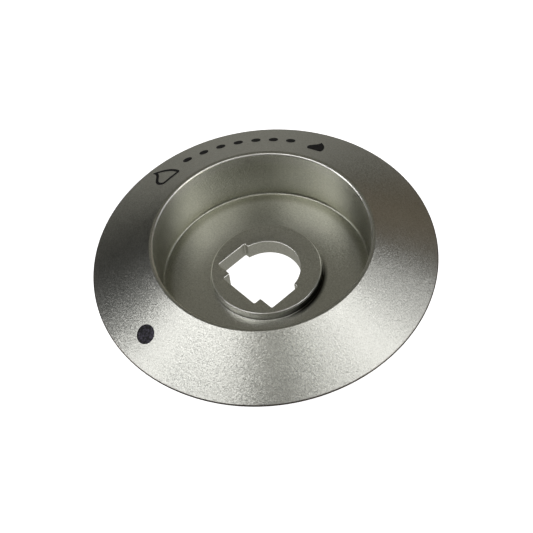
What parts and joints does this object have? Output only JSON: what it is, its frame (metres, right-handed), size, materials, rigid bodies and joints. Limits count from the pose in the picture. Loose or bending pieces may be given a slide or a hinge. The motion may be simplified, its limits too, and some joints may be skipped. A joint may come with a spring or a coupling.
{
  "type": "control knob dial skirt",
  "caption": "Round conical dial skirt for a gas hob's control knob, with a deep cup, a keyed hub hole and printed off, flame and dot marks.",
  "frame": {"origin": "middle of the cup's flat back face, on the disc's axis", "axes": "+Z along the disc's axis out of the dial's face, +Y along the locating slot of the keyed hole, with the off mark near +Y"},
  "size_m": [0.075, 0.075, 0.0149],
  "materials": {
    "silver_moulding": "satin",
    "black_ink": "satin"
  },
  "bodies": {
    "root": {"dial_skirt": "silver_moulding", "off_mark": "black_ink", "high_flame_mark": "black_ink", "low_flame_mark": "black_ink", "scale_dot_1": "black_ink", "scale_dot_2": "black_ink", "scale_dot_3": "black_ink", "scale_dot_4": "black_ink", "scale_dot_5": "black_ink", "scale_dot_6": "black_ink", "scale_dot_7": "black_ink"}
  },
  "joints": []
}
